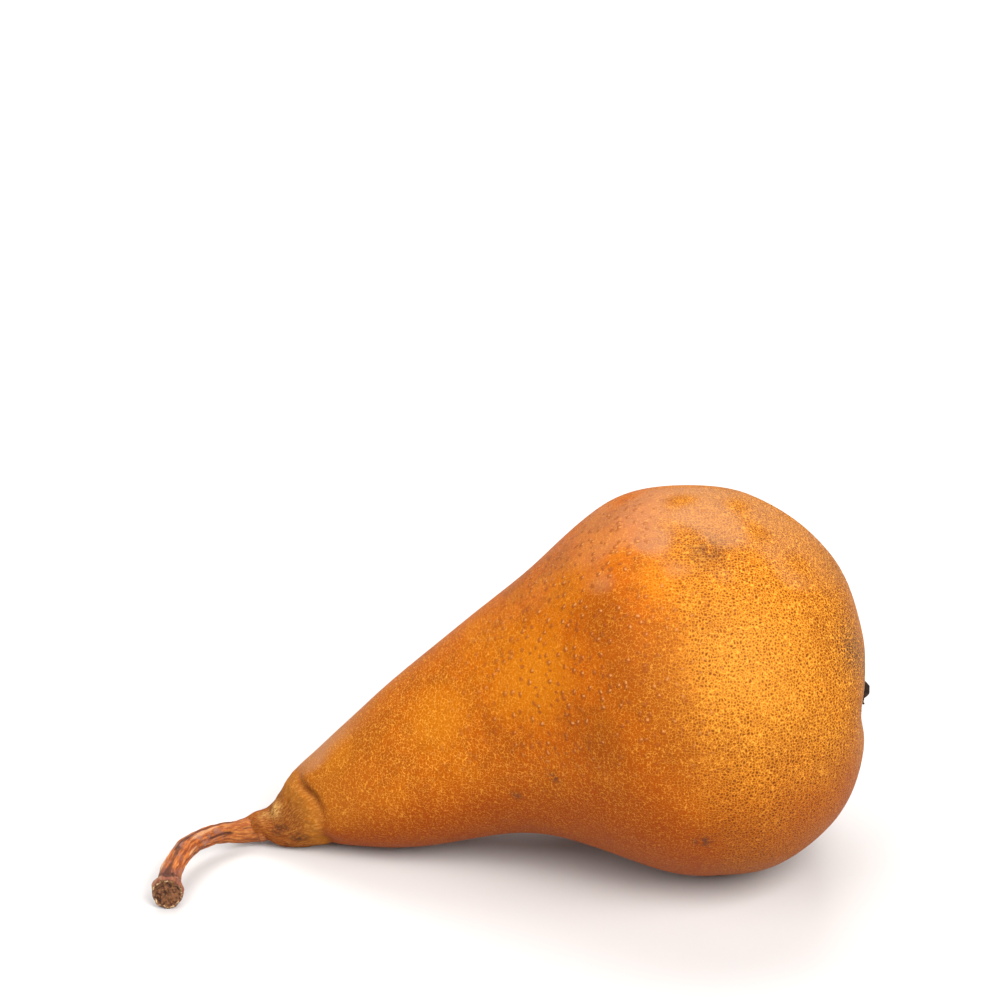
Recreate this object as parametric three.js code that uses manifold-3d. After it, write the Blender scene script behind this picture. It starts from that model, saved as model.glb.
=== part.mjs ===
// A ripe pear with a long neck, lying on its side with its stalk and its dried calyx.
// Millimetres, +Z up. The origin is the middle of the flat spot that it rests on, under the belly.
// The calyx end points towards +X and the stalk towards -X.
import * as THREE from 'three';
import Module from 'manifold-3d';
import { mergeVertices } from 'three/addons/utils/BufferGeometryUtils.js';

// Driving dimensions of the fruit
const CORE_LENGTH = 118;
const CORE = [
  [30.4, 0.8, 31.5],
  [-2.9, -2.2, 35.0],
  [-52.4, 3.9, 20.6],
  [-83.4, 1.4, 3.9],
];
// Control points of the outline, from the floor of the calyx basin to the end of the neck:
// station along the core, radius of the section, and height of its centre above the core
const OUTLINE = [
  [6.2, 0.0, -0.6],
  [6.0, 2.4, -0.6],
  [4.5, 5.0, -0.6],
  [2.3, 8.0, -0.8],
  [1.9, 12.5, -1.2],
  [3.6, 18.2, -0.6],
  [7.4, 25.3, 1.8],
  [14.5, 31.2, 3.1],
  [23, 36.1, 4.6],
  [32, 36.8, 5.4],
  [43, 36.7, 6.2],
  [55, 27.6, 4.6],
  [68, 20.8, 4.1],
  [81, 17.4, 0.8],
  [93, 13.7, -1.0],
  [102, 9.9, -1.0],
  [108, 7.5, -0.4],
  [113, 5.3, -2.2],
  [116.5, 3.7, -1.2],
  [118, 3.2, 0.3],
];
// The fold round the neck, where the fleshy cap of the stalk meets the fruit
const FOLD = { station: 106.6, slant: 1.6, width: 1.2, depth: 0.8 };
// Shallow dents where the rim of the calyx basin is pinched
const DENTS = [
  { at: [32.5, -6.5, 24.5], reach: 3.4, depth: 1.0 },
  { at: [32.0, 4.5, 25.0], reach: 3.6, depth: 0.8 },
];

// Driving dimensions of the stalk
const STALK_PATH = [
  [-87.9, -0.2, 3.1],
  [-91.3, -2.6, 3.7],
  [-94.8, -6.1, 4.7],
  [-97.0, -10.1, 5.4],
  [-98.6, -14.6, 5.1],
  [-99.6, -18.6, 3.8],
  [-100.2, -21.6, 2.6],
];
const STALK_RADII = [3.1, 2.8, 2.25, 1.85, 1.8, 1.9, 1.95, 2.0, 2.75];
const STALK_ROOT = { radius: 1.5, length: 8 };
const COLLAR_LENGTH = 1.7;

// Driving dimensions of the calyx
const CALYX_BASE = { radius: 2.6, length: 2.2 };
const SEPAL = { count: 5, length: 6.2, halfWidth: 1.5, halfThickness: 0.45, lean: 1.9 };
const STAMENS = { radius: 1.3, length: 3.4 };

// Fit and fineness
const CLEARANCE = 0.3;
const RINGS = 64;
const FRUIT_SIDES = 52;
const STALK_STEPS = 26;
const STALK_SIDES = 14;
const SEPAL_STEPS = 6;
const SEPAL_SIDES = 8;
const FLOOR_BLOCK = 300;

const manifoldLibrary = await Module();
manifoldLibrary.setup();

const core = new THREE.CubicBezierCurve3(...CORE.map((point) => new THREE.Vector3(...point)));

// A value on the uniform cubic B-spline through rows of control points, with t from 0 to 1.
// The first and last rows are mirrored past the ends, so that the curve starts and ends on them.
function outlineAt(t) {
  const last = OUTLINE.length - 1;
  const row = (index) => {
    if (index < 0) return OUTLINE[0].map((value, axis) => 2 * value - OUTLINE[1][axis]);
    if (index > last) return OUTLINE[last].map((value, axis) => 2 * value - OUTLINE[last - 1][axis]);
    return OUTLINE[index];
  };
  const place = Math.min(t * last, last - 1e-9);
  const index = Math.floor(place);
  const f = place - index;
  const weights = [(1 - f) ** 3, 3 * f ** 3 - 6 * f ** 2 + 4, -3 * f ** 3 + 3 * f ** 2 + 3 * f + 1, f ** 3];
  return [0, 1, 2].map((axis) =>
    weights.reduce((sum, weight, step) => sum + weight * row(index - 1 + step)[axis], 0) / 6);
}

// The section at t: its centre, the core's direction, and the two directions across it
function sectionAt(t) {
  const [station, radius, rise] = outlineAt(t);
  const along = core.getTangent(station / CORE_LENGTH);
  const side = along.clone().cross(new THREE.Vector3(0, 0, 1)).normalize();
  const up = side.clone().cross(along);
  const centre = core.getPoint(station / CORE_LENGTH).addScaledVector(up, rise);
  return { station, radius, along, side, up, centre };
}

// Depth of the fold and of the dents at a point of the skin
function hollowAt(point, station, angle) {
  const foldStation = FOLD.station + FOLD.slant * Math.cos(angle);
  let depth = FOLD.depth * Math.exp(-(((station - foldStation) / FOLD.width) ** 2));
  for (const dent of DENTS) {
    const distance = point.distanceTo(new THREE.Vector3(...dent.at));
    depth += dent.depth * Math.exp(-((distance / dent.reach) ** 2));
  }
  return depth;
}

// A closed body from rings of points, each ring with as many points, and its two end points
function closedBody(start, rings, end) {
  const points = [start, ...rings.flat(), end];
  const sides = rings[0].length;
  const at = (ring, step) => 1 + ring * sides + (step % sides);
  const faces = [];
  for (let step = 0; step < sides; step += 1) {
    faces.push(0, at(0, step + 1), at(0, step));
    for (let ring = 0; ring < rings.length - 1; ring += 1) {
      faces.push(at(ring, step), at(ring, step + 1), at(ring + 1, step + 1));
      faces.push(at(ring, step), at(ring + 1, step + 1), at(ring + 1, step));
    }
    faces.push(points.length - 1, at(rings.length - 1, step), at(rings.length - 1, step + 1));
  }
  const geometry = new THREE.BufferGeometry();
  geometry.setAttribute('position', new THREE.Float32BufferAttribute(
    points.flatMap((point) => point.toArray()), 3));
  geometry.setIndex(faces);
  return geometry;
}

// The fruit's skin: round sections along the core, with the fold and the dents pressed in
function fruitGeometry() {
  const rings = [];
  for (let ring = 1; ring <= RINGS; ring += 1) {
    const t = ring / RINGS;
    const section = sectionAt(t);
    const before = outlineAt(t - 0.5 / RINGS);
    const after = outlineAt(Math.min(t + 0.5 / RINGS, 1));
    const slope = new THREE.Vector2(after[0] - before[0], after[1] - before[1]).normalize();
    const points = [];
    for (let step = 0; step < FRUIT_SIDES; step += 1) {
      const angle = (2 * Math.PI * step) / FRUIT_SIDES;
      const outward = section.up.clone().multiplyScalar(Math.cos(angle))
        .addScaledVector(section.side, Math.sin(angle));
      const point = section.centre.clone().addScaledVector(outward, section.radius);
      const depth = hollowAt(point, section.station, angle);
      point.addScaledVector(section.along, depth * slope.y);
      point.addScaledVector(outward, -depth * slope.x);
      points.push(point);
    }
    rings.push(points);
  }
  return closedBody(sectionAt(0).centre, rings, sectionAt(1).centre);
}

// A tube or blade along a smooth curve: elliptic sections, wide across "broad"
function sweptGeometry(path, halfWidths, halfThicknesses, steps, sides, broad) {
  const curve = new THREE.CatmullRomCurve3(path, false, 'catmullrom', 0.5);
  const sizeAt = (sizes, t) => {
    const place = t * (sizes.length - 1);
    const index = Math.min(Math.floor(place), sizes.length - 2);
    return THREE.MathUtils.lerp(sizes[index], sizes[index + 1], place - index);
  };
  const rings = [];
  for (let ring = 0; ring <= steps; ring += 1) {
    const t = ring / steps;
    const centre = curve.getPoint(t);
    const along = curve.getTangent(t);
    const thin = along.clone().cross(broad).normalize();
    const wide = thin.clone().cross(along);
    const points = [];
    for (let step = 0; step < sides; step += 1) {
      const angle = (2 * Math.PI * step) / sides;
      points.push(centre.clone()
        .addScaledVector(wide, Math.cos(angle) * sizeAt(halfWidths, t))
        .addScaledVector(thin, Math.sin(angle) * sizeAt(halfThicknesses, t)));
    }
    rings.push(points);
  }
  return closedBody(curve.getPoint(0), rings, curve.getPoint(1));
}

// A round peg along a direction, from a point
function pegGeometry(from, direction, length, radius, sides) {
  const geometry = new THREE.CylinderGeometry(radius, radius, length, sides);
  geometry.translate(0, length / 2, 0);
  geometry.applyQuaternion(new THREE.Quaternion().setFromUnitVectors(
    new THREE.Vector3(0, 1, 0), direction));
  return geometry.translate(...from.toArray());
}

function toSolid(geometry) {
  const plain = geometry.clone();
  plain.deleteAttribute('normal');
  plain.deleteAttribute('uv');
  const merged = mergeVertices(plain);
  return new manifoldLibrary.Manifold(new manifoldLibrary.Mesh({
    numProp: 3,
    vertProperties: new Float32Array(merged.attributes.position.array),
    triVerts: new Uint32Array(merged.index.array),
  }));
}

function toMesh(solid, name, color, roughness) {
  const { vertProperties, triVerts } = solid.getMesh();
  const geometry = new THREE.BufferGeometry();
  geometry.setAttribute('position', new THREE.BufferAttribute(new Float32Array(vertProperties), 3));
  geometry.setIndex(new THREE.BufferAttribute(new Uint32Array(triVerts), 1));
  geometry.computeVertexNormals();
  const mesh = new THREE.Mesh(geometry, new THREE.MeshStandardMaterial({ color, roughness, metalness: 0 }));
  mesh.name = name;
  return mesh;
}

// Where the neck ends and the stalk begins
const neckEnd = sectionAt(1);
// The floor of the calyx basin, and the way out of it
const basin = sectionAt(0);
const outOfBasin = basin.along.clone().negate();

// The fruit, with the flat spot that it rests on and a blind hole for the stalk and the calyx
function fruit() {
  const floor = new THREE.BoxGeometry(FLOOR_BLOCK, FLOOR_BLOCK, FLOOR_BLOCK);
  floor.translate(0, 0, -FLOOR_BLOCK / 2);
  const stalkHole = pegGeometry(
    neckEnd.centre.clone().addScaledVector(neckEnd.along, -STALK_ROOT.length),
    neckEnd.along, STALK_ROOT.length + 2, STALK_ROOT.radius + CLEARANCE, STALK_SIDES);
  const calyxHole = pegGeometry(
    basin.centre.clone().addScaledVector(outOfBasin, -CALYX_BASE.length - CLEARANCE),
    outOfBasin, CALYX_BASE.length + 2, CALYX_BASE.radius + CLEARANCE, STALK_SIDES);
  const solid = toSolid(fruitGeometry())
    .subtract(toSolid(floor))
    .subtract(toSolid(stalkHole))
    .subtract(toSolid(calyxHole));
  return toMesh(solid, 'fruit', 0xc97a22, 0.5);
}

// The woody stalk: a peg in the neck, a flared collar, a bend to the floor and a swollen cut end
function stalk() {
  const collar = neckEnd.centre.clone().addScaledVector(neckEnd.along, CLEARANCE);
  const collarTop = collar.clone().addScaledVector(neckEnd.along, COLLAR_LENGTH);
  const path = [collar, collarTop, ...STALK_PATH.map((point) => new THREE.Vector3(...point))];
  const body = sweptGeometry(path, STALK_RADII, STALK_RADII, STALK_STEPS, STALK_SIDES,
    new THREE.Vector3(0, 0, 1));
  const root = pegGeometry(
    neckEnd.centre.clone().addScaledVector(neckEnd.along, CLEARANCE - STALK_ROOT.length),
    neckEnd.along, STALK_ROOT.length + 1, STALK_ROOT.radius, STALK_SIDES);
  return toMesh(toSolid(body).add(toSolid(root)), 'stalk', 0x8e4a24, 0.75);
}

// The dried calyx: a short base in the basin, five pointed sepals and the tuft of stamens
function calyx() {
  const foot = basin.centre.clone().addScaledVector(outOfBasin, -CALYX_BASE.length);
  let solid = toSolid(pegGeometry(
    foot, outOfBasin, CALYX_BASE.length + 0.8, CALYX_BASE.radius, STALK_SIDES));
  const top = basin.centre.clone();
  solid = solid.add(toSolid(sweptGeometry(
    [top, top.clone().addScaledVector(outOfBasin, STAMENS.length)],
    [STAMENS.radius, STAMENS.radius * 0.5], [STAMENS.radius, STAMENS.radius * 0.5],
    2, SEPAL_SIDES, basin.up)));
  for (let index = 0; index < SEPAL.count; index += 1) {
    const angle = (2 * Math.PI * (index + 0.25)) / SEPAL.count;
    const outward = basin.up.clone().multiplyScalar(Math.cos(angle))
      .addScaledVector(basin.side, Math.sin(angle));
    const broad = outOfBasin.clone().cross(outward);
    const start = CALYX_BASE.radius - 2 * SEPAL.halfThickness;
    const path = [0, 0.35, 0.7, 1].map((t) => top.clone()
      .addScaledVector(outward, start + SEPAL.lean * Math.sin(Math.PI * t * 0.8) - 0.6 * t)
      .addScaledVector(outOfBasin, SEPAL.length * t));
    solid = solid.add(toSolid(sweptGeometry(
      path,
      [SEPAL.halfWidth, SEPAL.halfWidth * 0.95, SEPAL.halfWidth * 0.6, SEPAL.halfThickness],
      [SEPAL.halfThickness, SEPAL.halfThickness, SEPAL.halfThickness * 0.8, SEPAL.halfThickness * 0.7],
      SEPAL_STEPS, SEPAL_SIDES, broad)));
  }
  return toMesh(solid, 'calyx', 0x2e1d14, 0.85);
}

const group = new THREE.Group();
group.add(fruit(), stalk(), calyx());
export default group;
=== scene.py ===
"""A ripe long-necked pear lying on its side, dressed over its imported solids.

The fruit, the stalk and the calyx are surfaces worked out with numpy from the same driving sizes
as the solids. Sizes are in millimetres until a mesh is made, and Blender's metres after that.
"""
from __future__ import annotations

import logging
import math
import sys
from dataclasses import dataclass
from enum import Enum
from typing import Any

import bpy
import numpy as np
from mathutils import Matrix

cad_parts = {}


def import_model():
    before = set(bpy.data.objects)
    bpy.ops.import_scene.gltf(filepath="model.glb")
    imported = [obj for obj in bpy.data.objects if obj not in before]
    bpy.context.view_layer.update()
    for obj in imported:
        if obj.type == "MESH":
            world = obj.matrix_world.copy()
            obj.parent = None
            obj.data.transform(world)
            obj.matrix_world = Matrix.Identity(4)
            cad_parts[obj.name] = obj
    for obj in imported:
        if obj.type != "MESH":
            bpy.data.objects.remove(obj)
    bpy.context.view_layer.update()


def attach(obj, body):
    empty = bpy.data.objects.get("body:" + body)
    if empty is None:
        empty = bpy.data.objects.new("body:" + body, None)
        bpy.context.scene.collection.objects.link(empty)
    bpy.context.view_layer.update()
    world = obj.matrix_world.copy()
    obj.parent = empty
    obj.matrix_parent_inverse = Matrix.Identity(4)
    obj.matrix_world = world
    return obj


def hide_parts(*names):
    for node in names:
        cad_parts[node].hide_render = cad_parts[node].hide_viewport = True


LOG = logging.getLogger("pear")
MM = 0.001
MM_PER_METRE = 1000.0
Rows = tuple[tuple[float, ...], ...]
Vector = tuple[float, float, float]


class Curve(Enum):
    """How a curve follows its points: steered by them, or through each of them."""

    NEAR = "near"
    THROUGH = "through"


def linear(hex_colour: str) -> tuple[float, float, float, float]:
    """Turns an sRGB hex colour into Blender's linear one.

    Args:
        hex_colour: Six hex digits after a hash sign.

    Returns:
        Linear red, green, blue and an alpha of 1.
    """
    parts = [int(hex_colour[start:start + 2], 16) / 255 for start in (1, 3, 5)]
    values = [part / 12.92 if part <= 0.04045 else ((part + 0.055) / 1.055) ** 2.4 for part in parts]
    return (values[0], values[1], values[2], 1.0)


def add(tree: bpy.types.NodeTree, kind: str, links: dict[Any, Any] | None = None,
        out: Any = 0, **settings: Any) -> Any:
    """Adds a node with its settings and its links.

    Args:
        tree: The material's node tree.
        kind: The node's type, without the words ShaderNode in front.
        links: For each input, by name or number, a socket to link or a value to set.
        out: Name or number of the output to return, or None for the node itself.
        **settings: Properties of the node.

    Returns:
        The output socket that out names, or the node.
    """
    node = tree.nodes.new("ShaderNode" + kind)
    for name, value in settings.items():
        setattr(node, name, value)
    for key, value in (links or {}).items():
        if isinstance(value, bpy.types.NodeSocket):
            tree.links.new(value, node.inputs[key])
        else:
            node.inputs[key].default_value = value
    return node if out is None else node.outputs[out]


def new_material(name: str) -> tuple[bpy.types.Material, bpy.types.NodeTree]:
    """Makes a material with an empty node tree.

    Args:
        name: Name of the material.

    Returns:
        The material and its tree.
    """
    material = bpy.data.materials.new(name)
    material.use_nodes = True
    material.node_tree.nodes.clear()
    return material, material.node_tree


def new_object(name: str, data: bpy.types.ID) -> bpy.types.Object:
    """Puts a mesh, a lamp or a camera in the scene.

    Args:
        name: Name of the object.
        data: The mesh, lamp or camera.

    Returns:
        The new object.
    """
    item = bpy.data.objects.new(name, data)
    bpy.context.scene.collection.objects.link(item)
    return item


def curve_rows(rows: Rows, t: np.ndarray, curve: Curve) -> np.ndarray:
    """Reads a uniform cubic curve along rows of points.

    The curve near its points is a B-spline, and the curve through them is a Catmull-Rom one. The
    first and last rows are mirrored past the ends, so that both curves start and end on them.

    Args:
        rows: The points, one row each.
        t: Places from 0 to 1.
        curve: How the curve follows the points.

    Returns:
        One row of values for each place.
    """
    control = np.asarray(rows, float)
    control = np.vstack([2 * control[0] - control[1], control, 2 * control[-1] - control[-2]])
    spans = len(control) - 3
    place = np.clip(t, 0, 1) * spans
    first = np.minimum(place.astype(int), spans - 1)
    f = (place - first)[..., None]
    before, start, end, after = (control[first + step] for step in range(4))
    if curve is Curve.NEAR:
        return ((1 - f) ** 3 * before + (3 * f ** 3 - 6 * f ** 2 + 4) * start
                + (-3 * f ** 3 + 3 * f ** 2 + 3 * f + 1) * end + f ** 3 * after) / 6
    return 0.5 * (2 * start + (end - before) * f + (2 * before - 5 * start + 4 * end - after) * f ** 2
                  + (3 * start - before - 3 * end + after) * f ** 3)


def unit(vectors: np.ndarray) -> np.ndarray:
    """Scales vectors to length 1 along their last axis."""
    return vectors / np.maximum(np.linalg.norm(vectors, axis=-1, keepdims=True), 1e-12)


def step_between(values: np.ndarray, low: float, high: float) -> np.ndarray:
    """A smooth step, 0 at low and 1 at high, or falling where low is above high."""
    t = np.clip((values - low) / (high - low), 0, 1)
    return t * t * (3 - 2 * t)


def turn_from(middle: float, angle: np.ndarray) -> np.ndarray:
    """Signed turn from a middle angle to others, between minus pi and pi."""
    return np.angle(np.exp(1j * (angle - middle)))


def bell(values: np.ndarray, middle: float, width: float) -> np.ndarray:
    """A smooth bump of height 1 at middle, which falls to 0.37 at one width from it."""
    return np.exp(-((values - middle) / width) ** 2)


def waves(points: np.ndarray, wavelength: float, seed: int, count: int = 14) -> np.ndarray:
    """Smooth seeded unevenness: the sum of plane waves in random directions.

    Args:
        points: Places, in millimetres, with three values each.
        wavelength: Mean length of the waves, in millimetres.
        seed: Seed of the draw.
        count: Number of waves.

    Returns:
        Values mostly between -1 and 1.
    """
    draw = np.random.default_rng(seed)
    directions = unit(draw.normal(size=(count, 3)))
    lengths = wavelength * draw.uniform(0.7, 1.5, count)
    phases = draw.uniform(0, 2 * math.pi, count)
    angles = points @ (directions * (2 * math.pi / lengths)[:, None]).T + phases
    return np.cos(angles).sum(axis=-1) / math.sqrt(2 * count)


def grid_mesh(name: str, points: np.ndarray,
              attributes: dict[str, np.ndarray] | None = None) -> bpy.types.Object:
    """Makes one closed object from a grid of points that runs round on its second axis.

    Args:
        name: Name of the object and its mesh.
        points: Places in millimetres, rows by columns by three.
        attributes: A value for each grid point, one or three numbers.

    Returns:
        The new object, with smooth faces that point outwards.
    """
    attributes = attributes or {}
    rows, columns = points.shape[:2]
    index = np.arange(rows * columns).reshape(rows, columns)
    right = np.roll(index, -1, axis=1)
    quads = np.stack([index[:-1], right[:-1], right[1:], index[1:]], axis=-1).reshape(-1, 4)
    faces = [tuple(face) for face in quads.tolist()]
    places = [points.reshape(-1, 3)]
    carried = {key: [value.reshape(rows * columns, -1)] for key, value in attributes.items()}
    # Each end is closed by a middle point and a fan of triangles
    for middle, end in enumerate((0, -1), rows * columns):
        places.append(points[end].mean(axis=0)[None])
        for key, value in attributes.items():
            carried[key].append(value.reshape(rows, columns, -1)[end].mean(axis=0)[None])
        ring = np.stack([index[end], right[end]] if end else [right[end], index[end]], axis=-1)
        faces += [(middle, int(a), int(b)) for a, b in ring]
    mesh = bpy.data.meshes.new(name)
    mesh.from_pydata((np.concatenate(places) * MM).tolist(), [], faces)
    mesh.polygons.foreach_set("use_smooth", np.ones(len(mesh.polygons), bool))
    for key, value in carried.items():
        data = np.concatenate(value).astype(np.float32)
        kind, slot = ("FLOAT", "value") if data.shape[1] == 1 else ("FLOAT_VECTOR", "vector")
        mesh.attributes.new(key, kind, "POINT").data.foreach_set(slot, data.ravel())
    mesh.update()
    return new_object(name, mesh)


def settle(piece: bpy.types.Object, material: bpy.types.Material, node: str) -> None:
    """Gives a piece its finish and its place in the frame.

    Args:
        piece: The finished piece.
        material: Its material.
        node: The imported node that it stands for.
    """
    piece.data.materials.append(material)
    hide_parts(node)
    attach(piece, "root")
    LOG.info("%s: %d faces", piece.name, len(piece.data.polygons))


@dataclass
class Section:
    """Sections across the core: centres and directions, one row for each place."""

    station: np.ndarray
    radius: np.ndarray
    centre: np.ndarray
    along: np.ndarray
    up: np.ndarray
    side: np.ndarray


@dataclass
class Mark:
    """A small blemish on the skin: where it is, how far it reaches and how strong it is."""

    at: Vector
    reach: float
    strength: float

    def spread(self, points: np.ndarray) -> np.ndarray:
        """The mark's strength at each point, full at its middle and 0.37 of it at one reach."""
        distance = np.linalg.norm(points - np.asarray(self.at), axis=-1)
        return self.strength * bell(distance, 0, self.reach)


@dataclass
class Fruit:
    """The flesh body: round sections along a bent core, with the fold, the cap and the basin."""

    core_length: float = 118
    core: Rows = ((30.4, 0.8, 31.5), (-2.9, -2.2, 35.0), (-52.4, 3.9, 20.6), (-83.4, 1.4, 3.9))
    # Station along the core, radius of the section, and height of its centre above the core
    outline: Rows = (
        (6.2, 0.0, -0.6), (6.0, 2.4, -0.6), (4.5, 5.0, -0.6), (2.3, 8.0, -0.8), (1.9, 12.5, -1.2),
        (3.6, 18.2, -0.6), (7.4, 25.3, 1.8), (14.5, 31.2, 3.1), (23, 36.1, 4.6), (32, 36.8, 5.4),
        (43, 36.7, 6.2), (55, 27.6, 4.6), (68, 20.8, 4.1), (81, 17.4, 0.8), (93, 13.7, -1.0),
        (102, 9.9, -1.0), (108, 7.5, -0.4), (113, 5.45, -2.4), (116.5, 3.95, -1.5), (118, 3.2, -0.1),
        (119.7, 2.55, 0.5), (121.6, 1.80, 1.3),
    )
    # The fold bends towards the belly on the side that faces the camera, at fold_turn radians
    fold_station: float = 106.1
    fold_bow: float = 2.6
    fold_turn: float = -1.20
    fold_spread: float = 0.55
    fold_width: float = 0.80
    fold_depth: float = 0.62
    # Angle at which the fold is deepest
    fold_deepest: float = -0.80
    furrows: int = 5
    cap_wrinkles: int = 23
    dents: tuple[Mark, ...] = (
        Mark((32.5, -6.5, 24.5), 3.4, 1.0),
        Mark((32.0, 4.5, 25.0), 3.6, 0.8),
        Mark((30.5, -2.0, 31.0), 5.0, 0.5),
        Mark((29.5, -6.5, 38.5), 4.6, 1.2),
        Mark((29.2, -10.5, 36.0), 4.6, 1.1),
        Mark((28.6, -15.5, 37.0), 4.2, 0.6),
        Mark((-71.0, -5.0, 3.5), 2.6, 0.7),
    )
    lumps: tuple[Mark, ...] = (
        Mark((-80.8, -0.6, 8.4), 1.4, 0.55),
        Mark((-83.0, 0.2, 6.6), 1.1, 0.30),
    )
    # Golden and brown clouds in the skin, the brown ones with a negative strength
    clouds: tuple[Mark, ...] = (
        Mark((-49.5, -12.6, 33.9), 8.0, 0.9),
        Mark((-31.7, -19.6, 46.4), 9.0, 0.9),
        Mark((-15.2, -33.5, 43.4), 5.5, 0.7),
        Mark((-10.3, -19.8, 66.1), 6.0, 0.9),
        Mark((-69.1, -3.2, 21.7), 5.0, 0.8),
        Mark((-13.4, -33.6, 45.8), 9.0, -0.9),
        Mark((-19.4, -21.2, 60.6), 7.0, -0.9),
        Mark((-20.0, -31.1, 38.9), 6.0, -0.9),
        Mark((-41.7, -18.6, 28.7), 7.0, -0.35),
        Mark((-3.5, -36.5, 39.3), 9.0, -0.55),
        Mark((-9.0, -29.5, 56.0), 9.0, -0.5),
        Mark((-1.1, -14.0, 69.8), 5.0, -0.5),
    )
    bruises: tuple[Mark, ...] = (
        Mark((-1.1, -14.0, 69.8), 4.0, 0.5),
        Mark((-1.5, -33.1, 20.2), 1.5, 1.0),
        Mark((-28.3, -25.3, 29.3), 1.1, 0.9),
        Mark((-35.2, -20.4, 22.7), 1.0, 0.8),
        Mark((-80.5, -2.5, 5.2), 1.3, 0.8),
        Mark((-76.1, -3.9, 4.2), 1.4, 0.9),
        Mark((23.4, -1.8, 60.4), 3.5, 0.35),
    )
    # Grey-brown strokes by the basin
    basin_strokes: tuple[Mark, ...] = (
        Mark((25.6, -15.5, 50.4), 4.6, 1.5),
        Mark((27.8, -10.5, 44.0), 4.6, 1.5),
    )
    # Painted highlight: where the key light falls, the tan skin is painted palest
    painted_highlights: tuple[Mark, ...] = (
        Mark((5.6, -31.0, 54.0), 13.5, 1.0),
    )
    # The grid starts where the basin's floor is a small ring
    first_ring: float = 0.004
    rings: int = 420
    sides: int = 230

    def sections(self, t: np.ndarray) -> Section:
        """Works out the sections, whose core is one cubic curve of four points.

        Args:
            t: Places from the basin's floor, 0, to the neck's end, 1.

        Returns:
            The sections, one row for each place.
        """
        station, radius, rise = np.moveaxis(curve_rows(self.outline, t, Curve.NEAR), -1, 0)
        p0, p1, p2, p3 = np.asarray(self.core, float)
        f = (station / self.core_length)[..., None]
        centre = ((1 - f) ** 3 * p0 + 3 * f * (1 - f) ** 2 * p1
                  + 3 * f * f * (1 - f) * p2 + f ** 3 * p3)
        along = unit((1 - f) ** 2 * (p1 - p0) + 2 * f * (1 - f) * (p2 - p1) + f * f * (p3 - p2))
        side = unit(np.cross(along, (0.0, 0.0, 1.0)))
        up = np.cross(side, along)
        return Section(station, radius, centre + up * rise[..., None], along, up, side)

    def fold_line(self, angle: np.ndarray) -> np.ndarray:
        """Station of the fold at each angle: a ring that bows towards the belly."""
        bow = self.fold_bow * bell(turn_from(self.fold_turn, angle), 0, self.fold_spread)
        return self.fold_station - bow + 0.15 * np.sin(9 * angle)

    def relief(self, points: np.ndarray, section: Section, angle: np.ndarray) -> np.ndarray:
        """Height of the skin's own relief over the round sections, in millimetres.

        It is the sum of the fold, the dents and lumps, a soft unevenness, the furrows that run
        into the basin, and the lengthwise wrinkles of the cap.

        Args:
            points: Places on the round sections.
            section: The sections, with one row for each ring.
            angle: Angle round the section, 0 at the top.

        Returns:
            The height at each place.
        """
        station = section.station[:, None]
        past = station - self.fold_line(angle)
        # Deepest beside the camera, a little deeper again below, and nearly gone behind the top
        turn = turn_from(self.fold_deepest, angle)
        strength = 0.20 + 0.80 * bell(turn, 0, 0.55) + 0.25 * bell(turn, -1.6, 0.5)
        strength = strength * (1 - 0.9 * bell(turn, 1.2, 0.5))
        height = -self.fold_depth * strength * bell(past, 0, self.fold_width)
        height = height + strength * (0.30 * bell(past, 1.7, 1.3) + 0.10 * bell(past, -2.0, 1.5))
        height = height + 0.14 * waves(points, 38, 3) + 0.06 * waves(points, 13, 4)
        for mark in self.dents:
            height = height - mark.spread(points)
        for mark in self.lumps:
            height = height + mark.spread(points)
        near_basin = step_between(section.radius[:, None], 14, 6) * step_between(station, 30, 20)
        furrows = (np.cos(self.furrows * angle + 0.9)
                   + 0.6 * np.cos(13 * angle + 2.0 + 0.15 * points[..., 2]))
        height = height + near_basin * (0.22 * furrows + 0.12 * waves(points, 2.4, 8) - 0.15)
        wrinkles = (np.cos(self.cap_wrinkles * angle + 1.6 * np.sin(0.5 * station))
                    + np.cos(37 * angle + 0.7 * station))
        ripples = 0.20 * waves(points, 6.0, 5) + 0.10 * waves(points, 2.2, 6)
        # The cap is smooth at its very end, where it closes on the stalk
        calm = step_between(station, 121.6, 117.0)
        return height + step_between(past, -0.6, 1.4) * calm * (0.035 * wrinkles + ripples) - 0.1

    def skin(self) -> tuple[np.ndarray, Section, np.ndarray]:
        """Works out the skin's points.

        Returns:
            The points, the sections and the angles of the grid.
        """
        t = np.linspace(self.first_ring, 1, self.rings)
        section = self.sections(t)
        slope_step = 0.002
        before = curve_rows(self.outline, t - slope_step, Curve.NEAR)
        after = curve_rows(self.outline, np.minimum(t + slope_step, 1), Curve.NEAR)
        slope = unit((after - before)[:, :2])
        angle = np.linspace(0, 2 * math.pi, self.sides, endpoint=False)[None, :]
        outward = (np.cos(angle)[..., None] * section.up[:, None]
                   + np.sin(angle)[..., None] * section.side[:, None])
        points = section.centre[:, None] + section.radius[:, None, None] * outward
        height = self.relief(points, section, angle)[..., None]
        normal = slope[:, None, :1] * outward - slope[:, None, 1:] * section.along[:, None]
        points = points + height * normal
        points[..., 2] = np.maximum(points[..., 2], 0)
        return points, section, angle

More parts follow.
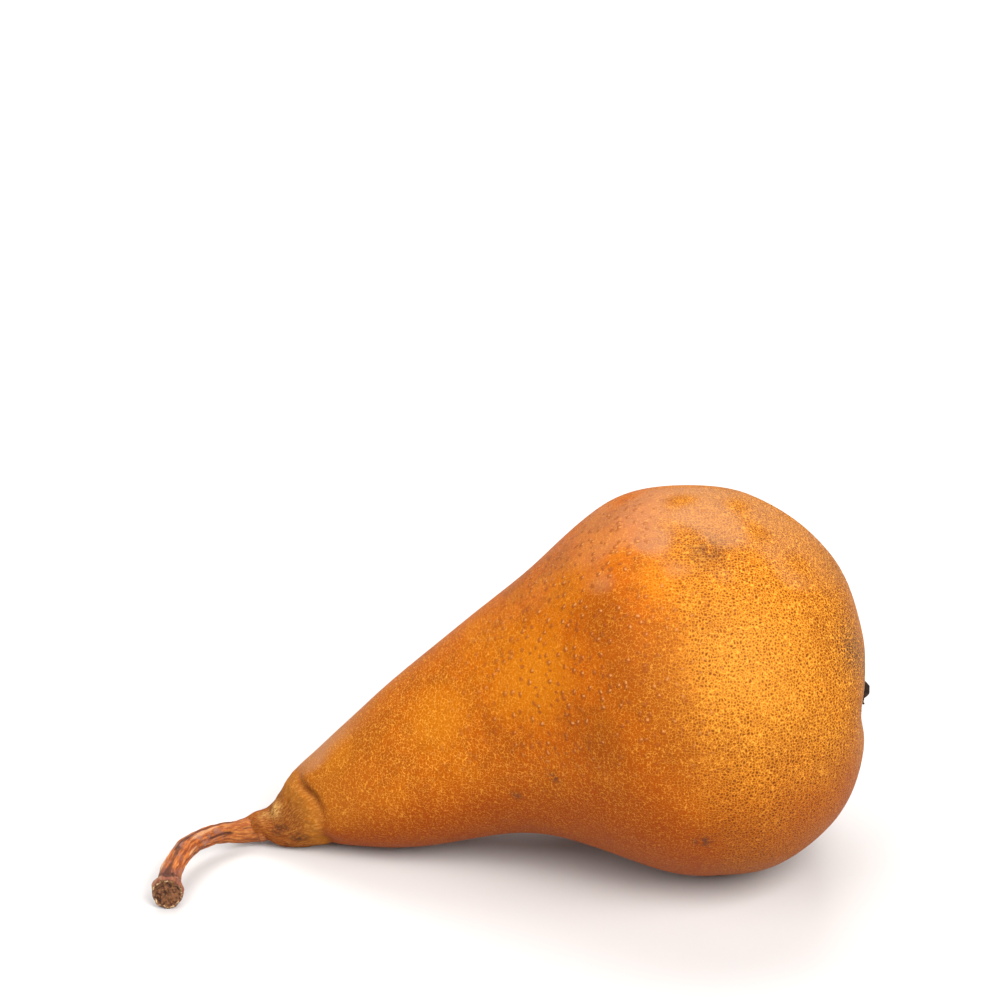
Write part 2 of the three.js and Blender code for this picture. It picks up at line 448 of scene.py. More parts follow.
    def zones(self, points: np.ndarray, section: Section, angle: np.ndarray) -> dict[str, np.ndarray]:
        """Paints where each kind of skin lies, and where shade, sheen and highlight are painted, as values
        from 0 to 1 on the points.

        Args:
            points: The skin's points.
            section: The sections of the grid's rings.
            angle: The angles of the grid's columns.

        Returns:
            The zones by name, and the place along the cap's grain.
        """
        station = np.broadcast_to(section.station[:, None], points.shape[:2])
        angle = np.broadcast_to(angle, points.shape[:2])
        patch, small = waves(points, 26, 11), waves(points, 9, 12)
        past = station - self.fold_line(angle)
        cap = step_between(past, -0.5, 0.9)
        turn = turn_from(self.fold_deepest, angle)
        spots = {"cloud": self.clouds, "bruise": self.bruises, "pale": self.lumps, "basin_stroke": self.basin_strokes,
                 "painted_highlight": self.painted_highlights}
        painted = {name: sum(mark.spread(points) for mark in marks) for name, marks in spots.items()}
        return {
            "tan": step_between(station + 2 * patch + 2 * small - 4.5 * np.cos(angle + 1.1), 37.5, 25.0),
            "end": step_between(station + 3 * patch, 17, 3),
            # The underside: partly its own redder brown and partly painted shade, darker towards the bottom
            "low": step_between(np.cos(angle + 0.35) + 0.1 * small, 0.64, -0.08),
            "smooth": bell(station + 3 * patch, 50, 21) * step_between(np.cos(angle + 0.35), 0.15, 0.65),
            # Painted sheen: the top of the belly and of the neck is paled where the soft light grazes it
            "painted_sheen": (step_between(np.cos(angle + 0.05) + 0.06 * small, 0.91, 1.0)
                      * np.maximum(bell(station, 31, 18), bell(station, 100, 7))),
            "neck": step_between(station + 4 * patch, 76, 104),
            "cap": cap,
            # Painted shade: a dark line along the bottom of the fold, strongest beside the camera
            "crease_shade": bell(past + 0.2 * small, -0.4, 0.8) * (0.10 + 0.62 * bell(turn, 0, 0.45)),
            # Beside the fold the cap is golden: partly its own colour and partly painted highlight on the
            # bulge that faces the light
            "gold_and_highlight_band": cap * bell(past + 0.6 * patch, 2.2, 2.6) * 0.9,
            "tip": step_between(station + 1.2 * small, 111.0, 118.0),
            "rim": np.maximum(painted["basin_stroke"], step_between(section.radius[:, None] + small, 14, 8)
                              * step_between(station, 40, 20) * step_between(np.cos(angle), -0.2, 0.7)),
            "cloud": painted["cloud"],
            "bruise": painted["bruise"],
            # Painted highlight on the tan skin
            "painted_highlight": painted["painted_highlight"],
            "pale": painted["pale"] * 2,
            "grain": np.stack([6 * np.cos(angle), 6 * np.sin(angle), 0.3 * station], axis=-1),
        }

    def build(self, material: bpy.types.Material) -> bpy.types.Object:
        """Makes the skin as one closed mesh and dresses it.

        Args:
            material: The skin's material.

        Returns:
            The finished piece.
        """
        points, section, angle = self.skin()
        piece = grid_mesh("pear_fruit", points, self.zones(points, section, angle))
        settle(piece, material, "fruit")
        return piece


@dataclass
class Stalk:
    """The woody stalk: a ridged tube with a flared collar, a bend and a swollen cut end."""

    fruit: Fruit
    path: Rows = ((-87.9, -0.2, 3.6), (-91.4, -2.4, 4.4), (-95.0, -6.1, 5.0), (-97.2, -10.1, 5.3),
                  (-98.8, -14.6, 4.8), (-99.8, -18.6, 3.8), (-99.85, -22.6, 3.05))
    # Radius at each point of the path, with the three points of the collar first
    radii: tuple[float, ...] = (2.3, 2.8, 2.5, 2.1, 1.9, 1.85, 1.95, 1.95, 2.2, 3.2)
    collar_back: float = 2.6
    collar_front: float = 1.9
    collar_lift: float = 0.5
    cut_tilt: float = 0.30
    # How much the radius shrinks at the rounded edge of the cut
    cut_edge: float = 0.35
    rows: int = 400
    sides: int = 144
    end_rings: int = 26

    def relief(self, place: np.ndarray, angle: np.ndarray, length: np.ndarray) -> np.ndarray:
        """Relief of the bark in millimetres.

        It is the sum of a few long ridges that wander round, fine lengthwise wrinkles, soft
        lumps, and the groove before the swollen end.

        Args:
            place: Places on a straight stalk, with the length as third value.
            angle: Angle round the stalk.
            length: Distance along the stalk, in millimetres.

        Returns:
            The height at each place.
        """
        total = float(length.max())
        wander = 0.6 * np.sin(0.35 * length) + 0.3 * np.sin(0.9 * length + 1)
        ridges = (0.10 * np.cos(3 * angle + 0.10 * length + 0.4) + 0.08 * np.cos(5 * angle - wander + 1.9)
                  - 0.10 * np.abs(np.cos(4.5 * angle + wander)) ** 6)
        wrinkles = 0.035 * np.cos(17 * angle + 2 * wander) + 0.05 * waves(place * (2.4, 2.4, 0.45), 1.5, 21)
        lumps = 0.09 * waves(place, 5.5, 22) + 0.06 * waves(place, 1.9, 23)
        swollen = step_between(length, total - 3.2, total - 2.2)
        groove = -0.28 * bell(length, total - 3.3, 0.55)
        knobs = 0.16 * swollen * waves(place, 1.6, 24)
        collar = step_between(length, 6.0, 2.6)
        return (ridges + lumps) * (1 - 0.7 * collar) + wrinkles + groove + knobs

    def cut_face(self, ring: np.ndarray, away: np.ndarray) -> tuple[np.ndarray, np.ndarray]:
        """Closes the stalk's end with rings that shrink over a rough, dished cut face.

        Args:
            ring: The last ring of the tube.
            away: Direction that the face looks in.

        Returns:
            The rings' points and their share of the full size.
        """
        share = np.linspace(1, 0.02, self.end_rings + 1)[1:, None, None]
        middle = ring.mean(axis=0)
        face = middle + (ring - middle) * share
        height = 0.16 * bell(share, 0.92, 0.10) - 0.18 * (1 - share) ** 0.6 + 0.20 * bell(share, 0.3, 0.25)
        height = height + (0.16 * waves(face, 1.3, 31) + 0.11 * waves(face, 0.6, 32))[..., None]
        return face + height * away, share[..., 0]

    def build(self, material: bpy.types.Material) -> bpy.types.Object:
        """Makes the stalk, a tube along the path that its cut face closes, and dresses it.

        Args:
            material: The bark's material.

        Returns:
            The finished piece.
        """
        # The collar's base is at the third last row of the fruit's outline
        last = len(self.fruit.outline) - 1
        end = self.fruit.sections(np.array([(last - 2) / last]))
        base, away = end.centre[0], end.along[0]
        path = (tuple(base - self.collar_back * away), tuple(base),
                tuple(base + self.collar_front * away + (0, 0, self.collar_lift)), *self.path)
        t = np.linspace(0, 1, self.rows)
        centre = curve_rows(path, t, Curve.THROUGH)
        along = unit(np.gradient(centre, axis=0))
        side = unit(np.cross(along, (0.0, 0.0, 1.0)))
        up = np.cross(side, along)
        length = np.r_[0, np.cumsum(np.linalg.norm(np.diff(centre, axis=0), axis=1))][:, None]
        total = float(length[-1, 0])
        radius = curve_rows(tuple((value,) for value in self.radii), t, Curve.THROUGH)
        radius = radius - self.cut_edge * step_between(length, total - 0.9, total)
        angle = np.linspace(0, 2 * math.pi, self.sides, endpoint=False)[None, :]
        place = np.stack([2 * np.cos(angle) + 0 * length, 2 * np.sin(angle) + 0 * length,
                          length + 0 * angle], axis=-1)
        height = self.relief(place, angle, length)
        outward = np.cos(angle)[..., None] * up[:, None] + np.sin(angle)[..., None] * side[:, None]
        points = centre[:, None] + (radius + height)[..., None] * outward
        # The cut is oblique: near the end the upper side is set back
        set_back = self.cut_tilt * step_between(length, total - 3.0, total) * radius * np.cos(angle)
        points = points - set_back[..., None] * along[:, None]
        face, share = self.cut_face(points[-1], unit(along[-1] + self.cut_tilt * up[-1]))
        points = np.concatenate([points, face])
        points[..., 2] = np.maximum(points[..., 2], 0.01)
        tube, disc = (self.rows, self.sides), (self.end_rings, self.sides)
        flat_place = np.stack([face @ side[-1], face @ up[-1], np.full(disc, total)], axis=-1)
        zones = {
            "cut": np.concatenate([np.zeros(tube), np.broadcast_to(step_between(share, 1.0, 0.93), disc)]),
            "share": np.concatenate([np.ones(tube), np.broadcast_to(share, disc)]),
            # The bark's relief, which the bark's material turns into painted highlight on crests and
            # painted shade in furrows
            "crest": np.concatenate([height, np.zeros(disc)]) * 3 + 0.5,
            "travel": np.concatenate([np.broadcast_to(length / total, tube), np.ones(disc)]),
            "grain": np.concatenate([place * (1, 1, 0.2), flat_place]),
        }
        piece = grid_mesh("pear_stalk", points, zones)
        settle(piece, material, "stalk")
        return piece


@dataclass
class Calyx:
    """The dried calyx: a short base, five curled sepals and a tuft of stamens."""

    fruit: Fruit
    base_radius: float = 2.6
    sepals: int = 5
    first_sepal: float = -0.45
    sepal_length: float = 5.7
    sepal_width: float = 3.1
    stamens: int = 18
    rows: int = 30
    sides: int = 16

    @staticmethod
    def blade(path: np.ndarray, broad: np.ndarray, widths: np.ndarray, thicknesses: np.ndarray,
              sides: int) -> np.ndarray:
        """A closed blade or thread along a path, as a grid of points.

        Args:
            path: Middle line, one point a row.
            broad: Direction across the blade.
            widths: Half width at each row.
            thicknesses: Half thickness at each row.
            sides: Points round each section.

        Returns:
            The grid of points.
        """
        along = unit(np.gradient(path, axis=0))
        thin = unit(np.cross(along, broad))
        wide = np.cross(thin, along)
        angle = np.linspace(0, 2 * math.pi, sides, endpoint=False)[None, :, None]
        return (path[:, None] + np.cos(angle) * (widths[:, None] * wide)[:, None]
                + np.sin(angle) * (thicknesses[:, None] * thin)[:, None])

    def parts(self) -> list[np.ndarray]:
        """Works out the base, the sepals and the stamens.

        Returns:
            One grid of points for each of them.
        """
        start = self.fruit.sections(np.array([0.0]))
        top, out = start.centre[0], -start.along[0]
        up, side = start.up[0], start.side[0]
        draw = np.random.default_rng(41)
        t = np.linspace(0, 1, self.rows)
        base_path = top + np.linspace(-2.0, 0.7, 8)[:, None] * out
        base_size = self.base_radius * np.array([0.9, 0.95, 1.0, 1.0, 1.0, 0.95, 0.8, 0.45])
        grids = [self.blade(base_path, up, base_size, base_size, 24)]
        for index in range(self.sepals):
            angle = self.first_sepal + 2 * math.pi * index / self.sepals + draw.uniform(-0.1, 0.1)
            away = math.cos(angle) * up + math.sin(angle) * side
            across = np.cross(out, away)
            length = self.sepal_length * (1.0 if index == 0 else draw.uniform(0.55, 0.68))
            lean, curl = draw.uniform(2.0, 2.6), draw.uniform(0.2, 0.8)
            reach = 1.6 + lean * t ** 0.8 - curl * t ** 4
            path = top + reach[:, None] * away + (length * (t - 0.03 * t ** 4))[:, None] * out
            path = path + (draw.uniform(-0.5, 0.5) * t ** 2)[:, None] * across
            widths = self.sepal_width * (1 - 0.70 * t ** 4) * draw.uniform(0.85, 1.05)
            grids.append(self.blade(path, across, widths, 0.32 - 0.14 * t, self.sides))
        for _ in range(self.stamens):
            angle, foot = draw.uniform(0, 2 * math.pi), draw.uniform(0.2, 1.5)
            away = math.cos(angle) * up + math.sin(angle) * side
            length, lean = draw.uniform(2.6, 5.2), draw.uniform(-0.3, 1.2)
            path = top + (foot + lean * t ** 2)[:, None] * away + (length * t)[:, None] * out
            thread = 0.10 + 0.16 * bell(t, 0.95, 0.06)
            grids.append(self.blade(path, up, thread, thread, 6))
        return grids

    def build(self, material: bpy.types.Material) -> bpy.types.Object:
        """Makes the parts, joins them in one piece and dresses it.

        The parts crumple more across the calyx than along it.

        Args:
            material: The dried calyx's material.

        Returns:
            The finished piece.
        """
        objects = []
        for index, points in enumerate(self.parts()):
            middle = points.mean(axis=1, keepdims=True)
            crumple = (0.14 * waves(middle, 1.6, 42) + 0.07 * waves(points, 0.9, 43))[..., None]
            points = points + crumple * np.array([0.2, 0.7, 0.7])
            objects.append(grid_mesh(f"calyx_part_{index}", points))
        piece = objects[0]
        with bpy.context.temp_override(active_object=piece, selected_editable_objects=objects):
            bpy.ops.object.join()
        piece.name = "pear_calyx"
        settle(piece, material, "calyx")
        return piece


@dataclass(frozen=True)
class PearSkin:
    """Waxy pear skin: golden ground under corky brown dots and a fine russet net.

    The wax gives a soft, weak gloss; the net is slightly raised and the dots slightly sunk.
    """

    golden: str = "#A24C00"
    tan: str = "#AC6410"
    bright: str = "#B46402"
    deep: str = "#803A02"
    # Underside colour: its own redder brown, darkened further as painted shade
    low_brown_and_shade: str = "#883400"
    neck_brown: str = "#945416"
    # Pale pink-grey of the painted sheen along the top
    painted_sheen: str = "#A87C5C"
    tan_deep: str = "#884206"
    heart: str = "#904A08"
    dot: str = "#542404"
    line: str = "#E29C38"
    pore_ring: str = "#864216"
    pore_heart: str = "#D89A58"
    cap_brown: str = "#8A4A1C"
    cap_fibre: str = "#C4843C"
    # Gold of the cap beside the fold: its own colour with painted highlight in it
    cap_gold_and_highlight: str = "#AC661C"
    tip_brown: str = "#92481C"
    # Dark brown of the painted shade in the fold
    crease_shade: str = "#5E2E10"
    bruise: str = "#4A2C20"
    pale: str = "#D8A860"
    # Pitch of the net's cells and of the pores, and how far a pore's scale sits to one side
    cell_pitch: float = 0.57
    pore_pitch: float = 1.6
    scale_offset: Vector = (-0.10, 0.08, -0.19)
    roughness: float = 0.48
    specular: float = 0.07
    ior: float = 1.44

    def build(self) -> bpy.types.Material:
        """Builds the material from Object coordinates in millimetres and the painted zones.

        Returns:
            The material.
        """
        material, tree = new_material("pear_skin")
        names = ("tan", "end", "low", "smooth", "painted_sheen", "neck", "cap", "crease_shade", "gold_and_highlight_band", "tip", "rim",
                 "cloud", "bruise", "pale", "painted_highlight")
        zone = {name: add(tree, "Attribute", out="Fac", attribute_name=name) for name in names}
        grain = add(tree, "Attribute", out="Vector", attribute_name="grain")
        place = add(tree, "TexCoord", out="Object")
        mm = add(tree, "VectorMath", {0: place, "Scale": MM_PER_METRE}, operation="SCALE")

        # Places that wander by up to half a millimetre, so that cells don't look like cells
        warped = mm
        for scale, reach in ((0.55, 1.1), (1.9, 0.34)):
            swirl = add(tree, "TexNoise", {"Vector": mm, "Scale": scale, "Detail": 2.0}, out="Color")
            swirl = add(tree, "VectorMath", {0: swirl, 1: (0.5, 0.5, 0.5)}, operation="SUBTRACT")
            swirl = add(tree, "VectorMath", {0: swirl, "Scale": reach}, operation="SCALE")
            warped = add(tree, "VectorMath", {0: warped, 1: swirl}, operation="ADD")

        # Noises by name: where they are read, how many to the millimetre, and their detail
        noises = {
            "cloud": (mm, 0.050, 3.0), "patch": (warped, 0.14, 4.0), "fleck": (warped, 0.45, 3.0),
            "cluster": (mm, 0.20, 3.0), "broken": (mm, 1.50, 3.0), "streak": (warped, 0.80, 3.0),
            "fine": (mm, 2.6, 3.0), "fibre": (grain, 4.6, 4.0), "blotch": (mm, 0.22, 3.0),
        }
        noise = {name: add(tree, "TexNoise", {"Vector": where, "Scale": scale, "Detail": detail,
                                              "Roughness": 0.62})
                 for name, (where, scale, detail) in noises.items()}

        # One cell pattern carries both the dark dot in each cell and the light net between them
        edge = add(tree, "TexVoronoi", {"Vector": warped, "Scale": 1 / self.cell_pitch, "Randomness": 0.72},
                   feature="DISTANCE_TO_EDGE")
        pore_cells = {"Scale": 1 / self.pore_pitch, "Randomness": 0.85}
        pores = add(tree, "TexVoronoi", {"Vector": warped, **pore_cells}, out=None, feature="F1")
        pore_chance = add(tree, "SeparateColor", {0: pores.outputs["Color"]})
        pore = pores.outputs["Distance"]
        # The light scale in each pore sits to one side of it
        aside = add(tree, "VectorMath", {0: warped, 1: self.scale_offset}, operation="ADD")
        pore_scale = add(tree, "TexVoronoi", {"Vector": aside, **pore_cells}, feature="F1")

        # Masks by name: what is read, where the mask begins, where it is full, and its height
        masks = {
            "dot": (edge, 0.22, 0.33, 1.0), "line": (edge, 0.095, 0.02, 1.0),
            "heart_dark": (edge, 0.05, 0.22, 1.0),
            "broken": (noise["broken"], 0.38, 0.56, 1.0), "cluster": (noise["cluster"], 0.05, 0.55, 1.0),
            "pore_there": (pore_chance, 0.14, 0.26, 1.0), "pore_disc": (pore, 0.38, 0.25, 1.0),
            "pore_heart": (pore_scale, 0.21, 0.10, 1.0), "patch": (noise["patch"], 0.46, 0.64, 0.55),
            "cloud": (noise["cloud"], 0.48, 0.64, 0.45), "fleck": (noise["fleck"], 0.50, 0.70, 0.40),
            "streak": (noise["streak"], 0.50, 0.62, 0.75), "mottle": (noise["streak"], 0.36, 0.56, 1.0),
            "flecked": (noise["fibre"], 0.38, 0.56, 1.0), "fibre": (noise["fibre"], 0.46, 0.64, 0.70),
            "blotch": (noise["blotch"], 0.58, 0.72, 0.5),
            "golden": (zone["cloud"], 0.05, 0.9, 0.85), "brown": (zone["cloud"], -0.05, -0.9, 0.75),
        }
        mask = {name: add(tree, "MapRange", {0: value, 1: low, 2: high, 3: 0.0, 4: top},
                          interpolation_type="SMOOTHSTEP")
                for name, (value, low, high, top) in masks.items()}
        # How much the net fades: over the pores, on the underside as part of its painted shade, and on the
        # neck
        rest = {name: add(tree, "Math", {0: zone[name], 1: share, 2: 1.0}, operation="MULTIPLY_ADD")
                for name, share in (("smooth", -0.55), ("low", -0.50), ("neck", -0.40))}
        present = add(tree, "Math", {0: mask["broken"], 1: zone["tan"]}, operation="MAXIMUM")
        heart_share = add(tree, "Math", {0: zone["tan"], 1: 0.42, 2: 0.26}, operation="MULTIPLY_ADD")
        # Masks made by multiplying others, each with its own strength
        products = {
            "net": (mask["line"], present, 0.80), "net_thin": ("net", rest["low"], 1.0),
            "net_soft": ("net_thin", rest["neck"], 1.0), "net_bare": ("net_soft", rest["smooth"], 1.0),
            "dots": (mask["dot"], zone["tan"], 0.76), "dots_thick": ("dots", mask["cluster"], 1.0),
            "hearts": (mask["heart_dark"], heart_share, 1.0),
            "hearts_bare": ("hearts", rest["smooth"], 1.0),
            "pores": (mask["pore_there"], zone["smooth"], 1.0), "rings": ("pores", mask["pore_disc"], 0.70),
            "cores": ("pores", mask["pore_heart"], 0.52), "rim": (zone["rim"], mask["heart_dark"], 0.85),
            "pale": (zone["pale"], mask["flecked"], 1.0),
            # The underside's strength covers both its own brown and its painted shade
            "bruise": (zone["bruise"], mask["mottle"], 1.0), "low": (zone["low"], 0.90, 1.0),
            "neck": (zone["neck"], 0.7, 1.0), "end": (zone["end"], 0.6, 1.0),
            # Strengths of the painted sheen along the top and of the painted highlight on the tan skin
            "painted_sheen": (zone["painted_sheen"], 0.44, 1.0), "painted_highlight": (zone["painted_highlight"], 0.20, 1.0),
        }
        for name, (first, second, strength) in products.items():
            first = mask[first] if isinstance(first, str) else first
            both = add(tree, "Math", {0: first, 1: second}, operation="MULTIPLY")
            mask[name] = add(tree, "Math", {0: both, 1: strength}, operation="MULTIPLY")

        # Coats of colour over the ground, each with its mask
        cap = linear(self.cap_brown)
        # The golden band beside the fold is partly the cap's own colour and partly painted highlight
        for share, coat in ((zone["gold_and_highlight_band"], self.cap_gold_and_highlight), (zone["tip"], self.tip_brown),
                            (mask["fibre"], self.cap_fibre), (mask["blotch"], self.bruise)):
            cap = add(tree, "Mix", {0: share, 6: cap, 7: linear(coat)}, out=2, data_type="RGBA")
        colour = linear(self.golden)
        coats = (
            (zone["tan"], self.tan), (mask["end"], self.tan_deep), (mask["patch"], self.deep),
            (mask["cloud"], self.bright),
            (mask["fleck"], self.deep), (mask["golden"], self.bright), (mask["brown"], self.deep),
            # The underside's coat is partly its own redder brown and partly painted shade
            (mask["neck"], self.neck_brown), (mask["low"], self.low_brown_and_shade),
            # The last coat on this line is a painted highlight on the tan skin
            (mask["hearts_bare"], self.heart), (mask["net_bare"], self.line), (mask["painted_highlight"], self.line),
            # A painted sheen pales the top of the belly and of the neck
            (mask["dots_thick"], self.dot), (mask["painted_sheen"], self.painted_sheen),
            (mask["rings"], self.pore_ring), (mask["cores"], self.pore_heart), (mask["rim"], self.bruise),
            # The fold's dark line is painted shade
            (zone["cap"], cap), (zone["crease_shade"], self.crease_shade), (mask["bruise"], self.bruise),
            (mask["pale"], self.pale),
        )
        for share, coat in coats:
            value = linear(coat) if isinstance(coat, str) else coat
            colour = add(tree, "Mix", {0: share, 6: colour, 7: value}, out=2, data_type="RGBA")

        # Height in millimetres over the skin
        height = add(tree, "Math", {0: noise["fine"], 1: 0.06}, operation="MULTIPLY")
        fibres = add(tree, "Math", {0: noise["fibre"], 1: zone["cap"]}, operation="MULTIPLY")
        for source, amount in ((mask["net_bare"], 0.07), (mask["dots_thick"], -0.06), (mask["rings"], 0.16),
                               (mask["cores"], 0.05), (fibres, 0.55), (noise["fleck"], 0.10)):
            height = add(tree, "Math", {0: source, 1: amount, 2: height}, operation="MULTIPLY_ADD")
        bump = add(tree, "Bump", {"Height": height, "Distance": MM})
        gloss = add(tree, "MapRange", {0: noise["fine"], 1: 0.3, 2: 0.7, 3: self.roughness - 0.05,
                                       4: self.roughness + 0.08})
        gloss = add(tree, "Math", {0: zone["cap"], 1: 0.25, 2: gloss}, operation="MULTIPLY_ADD")
        shader = add(tree, "BsdfPrincipled", {"Base Color": colour, "Roughness": gloss, "Normal": bump,
                                              "IOR": self.ior, "Specular IOR Level": self.specular})
        add(tree, "OutputMaterial", {"Surface": shader}, out=None)
        return material


@dataclass(frozen=True)
class StalkBark:
    """Dry bark of a fruit stalk, ridged and peeling, with a pale rough cut end.

    Painted highlight makes the crests pale orange, painted shade makes the furrows dark, and weathered
    patches are lilac grey.
    """

    brown: str = "#7C3A18"
    orange: str = "#B4662A"
    # Pale orange of the painted highlight on crests, and of the bark's own flakes
    crest: str = "#D8A878"
    grey: str = "#7E6058"
    weathered: str = "#6E463A"
    root: str = "#8E481C"
    strand: str = "#C4843C"
    dark: str = "#34190E"
    cut_brown: str = "#744A2C"
    cut_pale: str = "#D2B080"
    roughness: float = 0.55
    specular: float = 0.22

    def build(self) -> bpy.types.Material:
        """Builds the material along the stalk's own grain.

        Returns:
            The material.
        """
        material, tree = new_material("stalk_bark")
        zone = {name: add(tree, "Attribute", out="Fac", attribute_name=name)
                for name in ("cut", "share", "crest", "travel")}
        grain = add(tree, "Attribute", out="Vector", attribute_name="grain")
        place = add(tree, "TexCoord", out="Object")
        mm = add(tree, "VectorMath", {0: place, "Scale": MM_PER_METRE}, operation="SCALE")
        noises = {"fibre": (grain, 1.9, 5.0), "patch": (mm, 0.33, 4.0), "speck": (mm, 1.8, 4.0),
                  "flake": (grain, 1.1, 3.0), "wood": (grain, 1.8, 5.0), "strand": (grain, 3.4, 4.0)}
        noise = {name: add(tree, "TexNoise", {"Vector": where, "Scale": scale, "Detail": detail,
                                              "Roughness": 0.65})
                 for name, (where, scale, detail) in noises.items()}
        rim = add(tree, "Math", {0: zone["share"], 1: 0.92, 2: 0.06}, operation="COMPARE")
        masks = {
            "fibre": (noise["fibre"], 0.42, 0.60, 0.9), "patch": (noise["patch"], 0.52, 0.66, 0.65),
            # The crest mask is painted highlight on the ridges, and the furrow mask below it painted shade
            # in the grooves
            "speck": (noise["speck"], 0.58, 0.72, 0.75), "crest": (zone["crest"], 0.72, 1.0, 0.45),
            "furrow_shade": (zone["crest"], 0.30, 0.0, 0.75), "flake": (noise["flake"], 0.64, 0.72, 0.65),
            "weathered": (zone["travel"], 0.82, 0.90, 0.65), "root": (zone["travel"], 0.44, 0.24, 1.0),
            "wood": (noise["wood"], 0.38, 0.56, 1.0),
            "ragged": (noise["speck"], 0.46, 0.60, 0.8), "strand": (noise["strand"], 0.46, 0.64, 0.55),
        }
        mask = {name: add(tree, "MapRange", {0: value, 1: low, 2: high, 3: 0.0, 4: top},
                          interpolation_type="SMOOTHSTEP")
                for name, (value, low, high, top) in masks.items()}
        pale_rim = add(tree, "Math", {0: rim, 1: mask["ragged"]}, operation="MULTIPLY")
        wood = linear(self.dark)
        for share, coat in ((mask["wood"], self.cut_brown), (pale_rim, self.cut_pale)):
            wood = add(tree, "Mix", {0: share, 6: wood, 7: linear(coat)}, out=2, data_type="RGBA")
        root = add(tree, "Mix", {0: mask["strand"], 6: linear(self.root), 7: linear(self.strand)}, out=2,
                   data_type="RGBA")
        colour = linear(self.brown)
        # Crests get painted highlight and furrows painted shade; the flakes' pale colour is the bark's own
        for share, coat in ((mask["fibre"], self.orange), (mask["patch"], self.grey),
                            (mask["crest"], self.crest), (mask["flake"], self.crest),
                            (mask["weathered"], self.weathered), (mask["root"], root),
                            (mask["furrow_shade"], self.dark), (mask["speck"], self.dark),
                            (zone["cut"], wood)):
            value = linear(coat) if isinstance(coat, str) else coat
            colour = add(tree, "Mix", {0: share, 6: colour, 7: value}, out=2, data_type="RGBA")
        height = add(tree, "Math", {0: noise["fibre"], 1: 0.35}, operation="MULTIPLY")
        height = add(tree, "Math", {0: noise["speck"], 1: 0.25, 2: height}, operation="MULTIPLY_ADD")
        bump = add(tree, "Bump", {"Height": height, "Distance": MM})
        shader = add(tree, "BsdfPrincipled", {"Base Color": colour, "Roughness": self.roughness,
                                              "Specular IOR Level": self.specular, "Normal": bump})
        add(tree, "OutputMaterial", {"Surface": shader}, out=None)
        return material


@dataclass(frozen=True)
class DriedCalyx:
    """Dead sepals and stamens, dried to a matt near-black brown with paler brown specks."""

    black: str = "#1A100B"
    brown: str = "#3E2A1C"
    roughness: float = 0.85
    specular: float = 0.2

    def build(self) -> bpy.types.Material:
        """Builds the material from Object coordinates in millimetres.

        Returns:
            The material.
        """
        material, tree = new_material("dried_calyx")
        place = add(tree, "TexCoord", out="Object")
        mm = add(tree, "VectorMath", {0: place, "Scale": MM_PER_METRE}, operation="SCALE")
        speck = add(tree, "TexNoise", {"Vector": mm, "Scale": 0.9, "Detail": 4.0, "Roughness": 0.7})
        share = add(tree, "MapRange", {0: speck, 1: 0.45, 2: 0.7, 3: 0.0, 4: 1.0},
                    interpolation_type="SMOOTHSTEP")
        colour = add(tree, "Mix", {0: share, 6: linear(self.black), 7: linear(self.brown)}, out=2,
                     data_type="RGBA")
        bump = add(tree, "Bump", {"Height": speck, "Distance": 0.3 * MM})
        shader = add(tree, "BsdfPrincipled", {"Base Color": colour, "Roughness": self.roughness,
                                              "Specular IOR Level": self.specular, "Normal": bump})
        add(tree, "OutputMaterial", {"Surface": shader}, out=None)
        return material


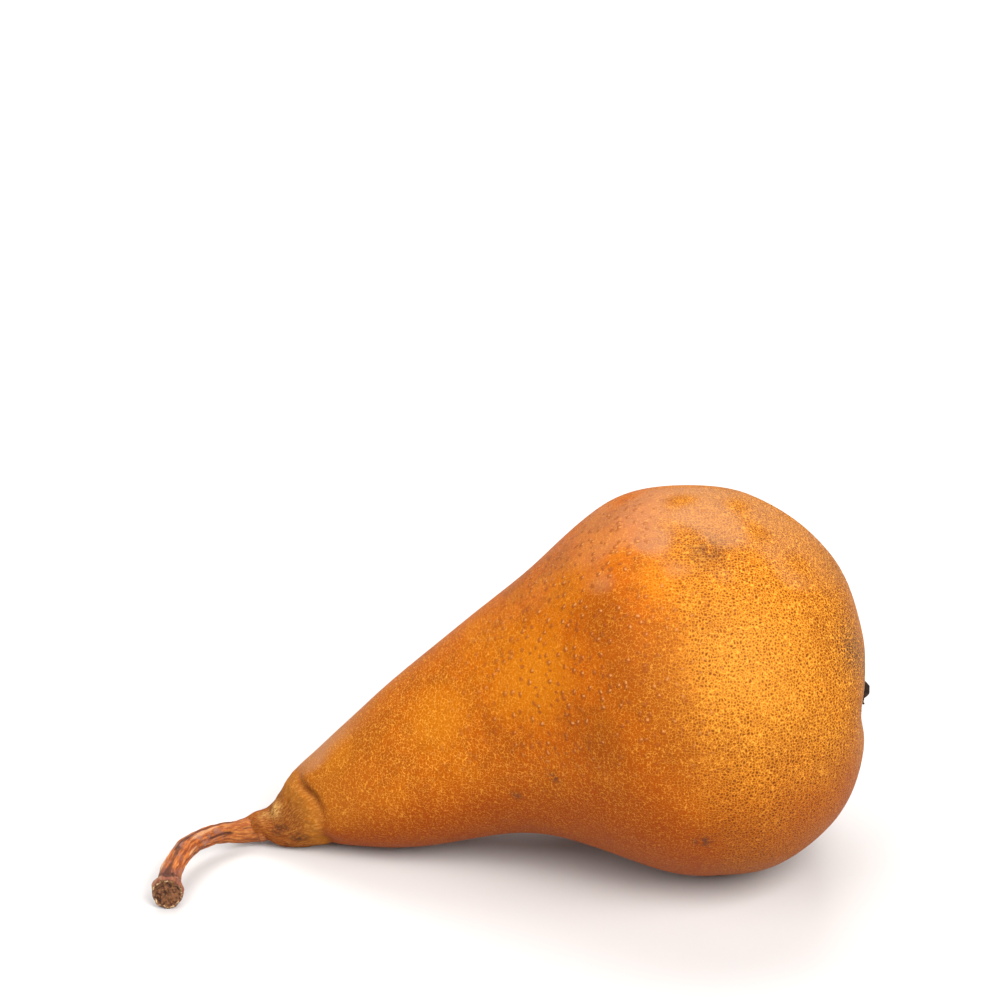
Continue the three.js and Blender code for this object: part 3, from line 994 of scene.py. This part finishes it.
@dataclass
class Studio:
    """The pale floor, the soft lights and the camera at the photograph's angle."""

    # Where the camera stands in millimetres, and how many degrees it looks down
    camera_at: Vector = (-38.25, -695.24, 404.75)
    look_down: float = 25.5
    # Width of the picture at the pear, and how far away the pear is
    frame_width: float = 190
    distance: float = 800
    sensor_width: float = 36
    floor_size: float = 8000
    floor_drop: float = 0.02
    floor_colour: str = "#C7C4C2"
    world_strength: float = 0.20
    # Place in millimetres, size in millimetres and power in watts of each soft box
    lights: tuple[tuple[str, Vector, float, float], ...] = (
        ("key", (450, -640, 760), 700, 19.0),
        ("back", (-100, 560, 900), 900, 13.0),
        ("fill", (-620, -560, 700), 800, 8.0),
    )
    aim: Vector = (-25, 0, 30)

    def camera(self) -> None:
        """Places the camera so that the frame's width covers frame_width at the pear."""
        data = bpy.data.cameras.new("camera")
        data.sensor_width = self.sensor_width
        data.lens = self.sensor_width * self.distance / self.frame_width
        camera = new_object("camera", data)
        camera.location = [value * MM for value in self.camera_at]
        camera.rotation_euler = (math.radians(90 - self.look_down), 0, 0)
        bpy.context.scene.camera = camera

    def floor(self) -> None:
        """Lays the pale floor just under the pear."""
        half = self.floor_size / 2 * MM
        mesh = bpy.data.meshes.new("floor")
        low = -self.floor_drop * MM
        mesh.from_pydata([(-half, -half, low), (half, -half, low), (half, half, low), (-half, half, low)],
                         [], [(0, 1, 2, 3)])
        floor = new_object("floor", mesh)
        material, tree = new_material("pale_paper")
        place = add(tree, "TexCoord", out="Object")
        speck = add(tree, "TexNoise", {"Vector": place, "Scale": 900.0, "Detail": 2.0})
        bump = add(tree, "Bump", {"Height": speck, "Distance": 0.02 * MM})
        shader = add(tree, "BsdfPrincipled", {"Base Color": linear(self.floor_colour), "Roughness": 0.9,
                                              "Specular IOR Level": 0.1, "Normal": bump})
        add(tree, "OutputMaterial", {"Surface": shader}, out=None)
        mesh.materials.append(material)

    def lamps(self) -> None:
        """Hangs the soft boxes and sets the even light of the room."""
        world = bpy.data.worlds.new("studio")
        world.use_nodes = True
        background = world.node_tree.nodes["Background"]
        background.inputs["Color"].default_value = (1, 1, 1, 1)
        background.inputs["Strength"].default_value = self.world_strength
        bpy.context.scene.world = world
        for name, place, size, power in self.lights:
            data = bpy.data.lights.new(name, "AREA")
            data.shape = "SQUARE"
            data.size = size * MM
            data.energy = power
            lamp = new_object(name, data)
            way = np.asarray(self.aim, float) - np.asarray(place, float)
            flat = math.hypot(way[0], way[1])
            lamp.location = [value * MM for value in place]
            lamp.rotation_euler = (math.atan2(flat, -way[2]), 0, math.atan2(way[1], way[0]) - math.pi / 2)

    def build(self) -> None:
        """Sets up the camera, the floor, the lights and plain colour handling."""
        self.camera()
        self.floor()
        self.lamps()
        bpy.context.scene.view_settings.view_transform = "Standard"
        bpy.context.scene.view_settings.look = "None"
        LOG.info("studio: camera, floor and %d lights", len(self.lights))


def main() -> None:
    """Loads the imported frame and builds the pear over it."""
    logging.basicConfig(level=logging.INFO, format="%(name)s: %(message)s", stream=sys.stdout)
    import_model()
    Studio().build()
    fruit = Fruit()
    fruit.build(PearSkin().build())
    Stalk(fruit).build(StalkBark().build())
    Calyx(fruit).build(DriedCalyx().build())


if __name__ == "__main__":
    main()
